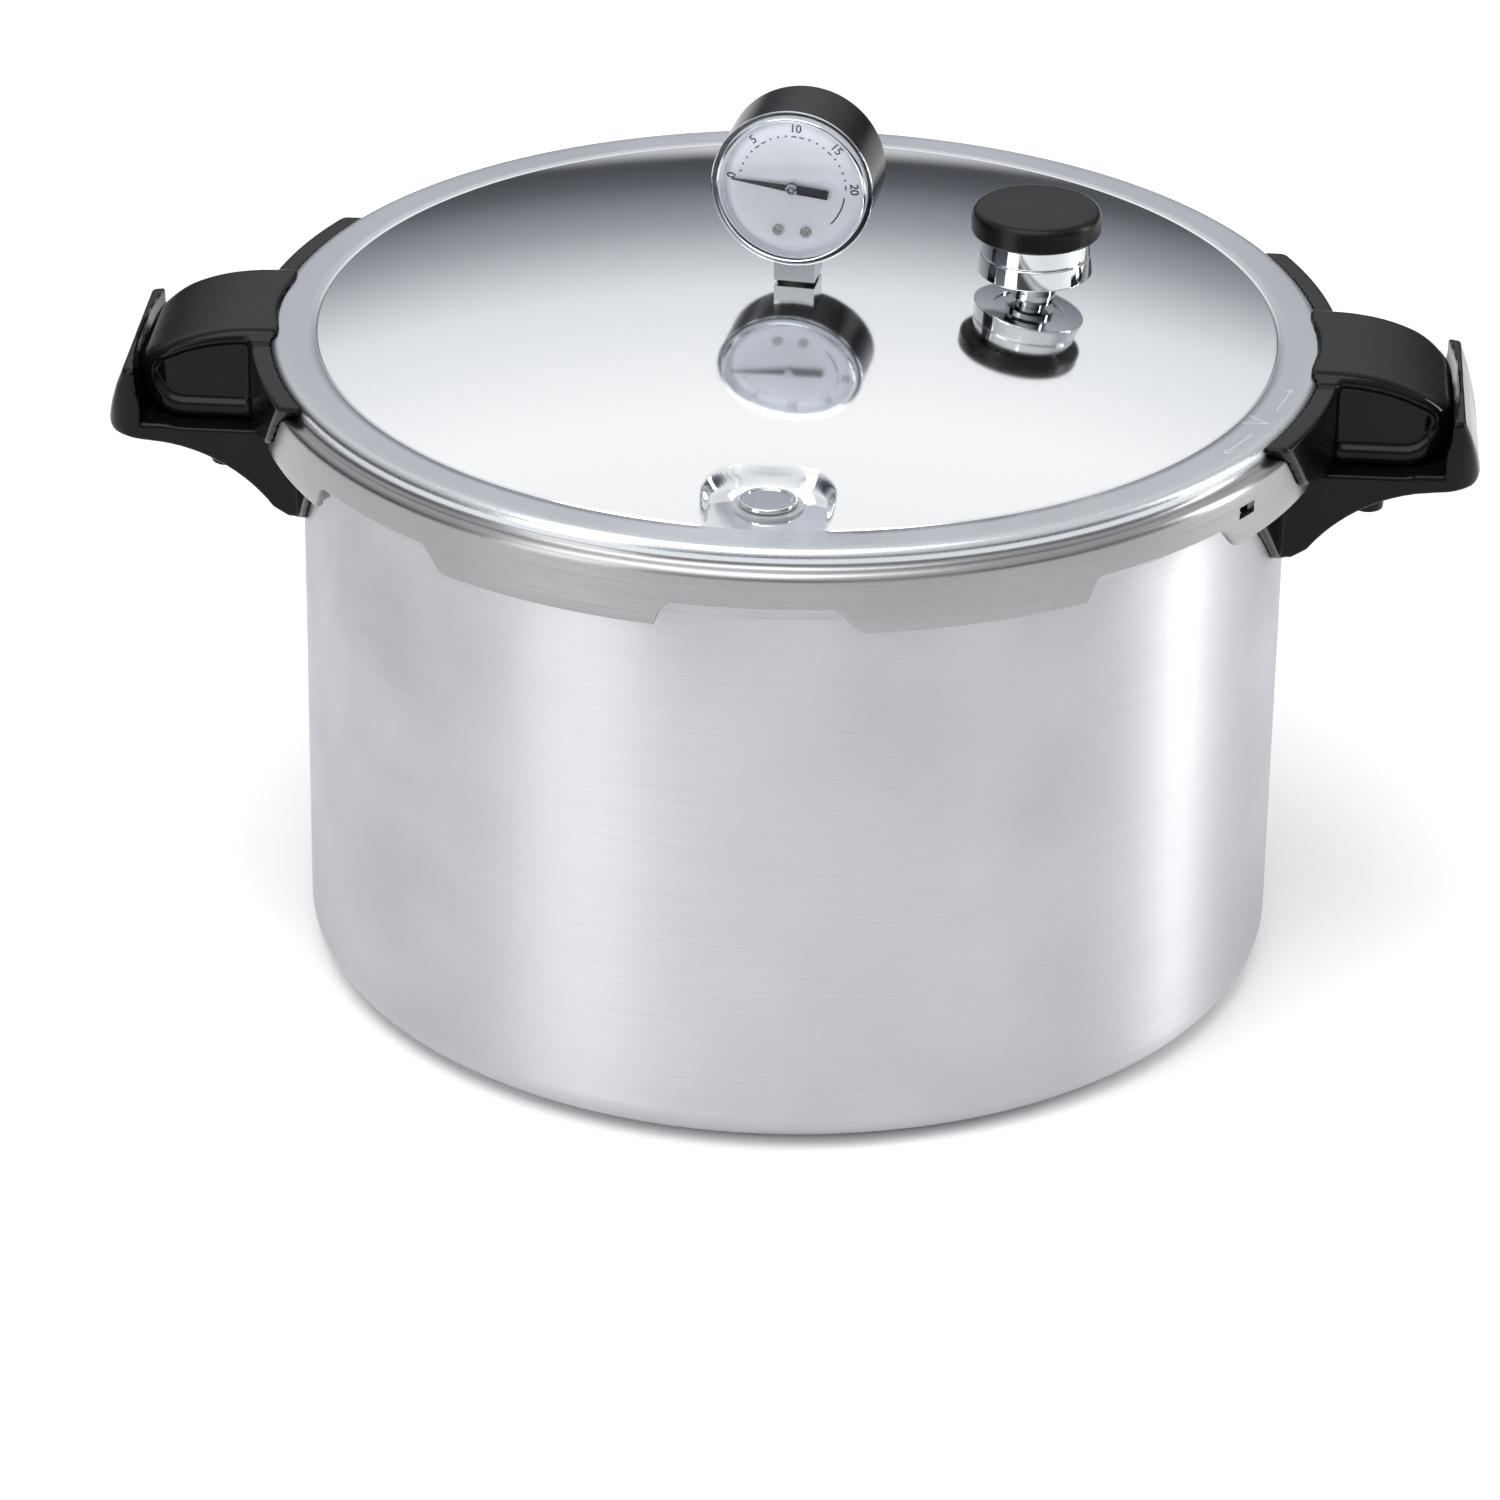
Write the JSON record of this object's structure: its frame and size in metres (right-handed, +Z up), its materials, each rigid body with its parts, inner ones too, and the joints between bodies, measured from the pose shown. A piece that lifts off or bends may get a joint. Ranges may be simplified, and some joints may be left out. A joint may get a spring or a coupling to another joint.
{
  "type": "pressure canner",
  "caption": "Large stove-top pressure canner: straight aluminium pot, domed bayonet lid with dial gauge, weighted regulator, cover lock and relief plug, jar rack inside.",
  "frame": {"origin": "centre of the foot, on the surface the pot stands on", "axes": "+Z up along the pot axis, +X along the handles towards the regulator side, -Y towards the front with the cover lock"},
  "size_m": [0.436, 0.3436, 0.2887],
  "materials": {
    "pot_aluminium": "satin, finely brushed round the wall",
    "lid_aluminium": "polished dome, satin ring and skirt",
    "rack_aluminium": "mill finish",
    "lock_steel": "plated",
    "screw_steel": "plated",
    "handle_phenolic": "moulded, semi-gloss",
    "seal_rubber": "moulded",
    "chromed_metal": "bright",
    "case_black": "satin black",
    "dial_white": "matt white with black print",
    "window_clear": "clear moulded crystal",
    "movement_brass": "machined",
    "movement_steel": "machined",
    "pointer_black": "matt black"
  },
  "bodies": {
    "pot": {"pot_body": "pot_aluminium", "body_bracket_left": "pot_aluminium", "body_bracket_right": "pot_aluminium", "body_handle_left": "handle_phenolic", "body_handle_right": "handle_phenolic", "body_handle_screws": "screw_steel", "lock_bracket": "lock_steel", "lock_bracket_rivets": "pot_aluminium"},
    "lid": {"lid": "lid_aluminium", "sealing_ring": "seal_rubber", "lid_bracket_left": "pot_aluminium", "lid_bracket_right": "pot_aluminium", "lid_handle_left": "handle_phenolic", "lid_handle_right": "handle_phenolic", "lid_handle_screws": "screw_steel", "vent_pipe": "chromed_metal", "vent_pipe_nut": "lock_steel", "cover_lock_gasket": "seal_rubber", "relief_plug": "seal_rubber", "gauge_stem": "chromed_metal", "gauge_gasket": "seal_rubber", "gauge_nut": "lock_steel", "gauge_case": "case_black", "gauge_dial": "dial_white", "gauge_dial_screws": "screw_steel", "gauge_window": "window_clear", "bourdon_tube": "movement_brass", "movement_frame": "movement_brass", "hairspring": "movement_steel"},
    "regulator": {"regulator_core": "chromed_metal", "regulator_ring_upper": "chromed_metal", "regulator_ring_lower": "chromed_metal", "regulator_knob": "handle_phenolic"},
    "cover_lock": {"cover_lock_pin": "chromed_metal", "cover_lock_cup": "lock_steel"},
    "sector": {"sector_gear": "movement_brass"},
    "link": {"movement_link": "movement_steel"},
    "needle": {"pointer_spindle": "movement_steel", "pointer": "pointer_black", "pointer_hub": "movement_steel"},
    "rack": {"canning_rack": "rack_aluminium"}
  },
  "joints": [
    {"name": "lid_turn", "type": "hinge", "parent": "pot", "child": "lid", "pos_m": [0, 0, 0.2], "axis": [0, 0, 1], "range_deg": [0, 22.5]},
    {"name": "regulator_lift", "type": "slide", "parent": "lid", "child": "regulator", "axis": [0, 0, 1], "range_m": [0, 0.03]},
    {"name": "cover_lock_rise", "type": "slide", "parent": "lid", "child": "cover_lock", "axis": [0, 0, 1], "range_m": [0, 0.006]},
    {"name": "sector_swing", "type": "hinge", "parent": "lid", "child": "sector", "pos_m": [0.00594, -0.00078, 0.25711], "axis": [-0.1305, -0.9914, 0], "range_deg": [0, 45], "stiffness_Nm_per_rad": 0.002},
    {"name": "pointer_turn", "type": "hinge", "parent": "lid", "child": "needle", "pos_m": [0, 0, 0.263], "axis": [0.1305, 0.9914, 0], "range_deg": [0, 225]},
    {"name": "link_swing", "type": "hinge", "parent": "sector", "child": "link", "pos_m": [0.01082, -0.00143, 0.25624], "axis": [-0.1305, -0.9914, 0], "range_deg": [-45, 0]},
    {"name": "rack_lift", "type": "slide", "parent": "pot", "child": "rack", "axis": [0, 0, 1], "range_m": [0, 0.15]}
  ],
  "couplings": [
    {"joint": "pointer_turn", "follows": "sector_swing", "ratio": 5},
    {"joint": "link_swing", "follows": "sector_swing", "ratio": -1}
  ]
}
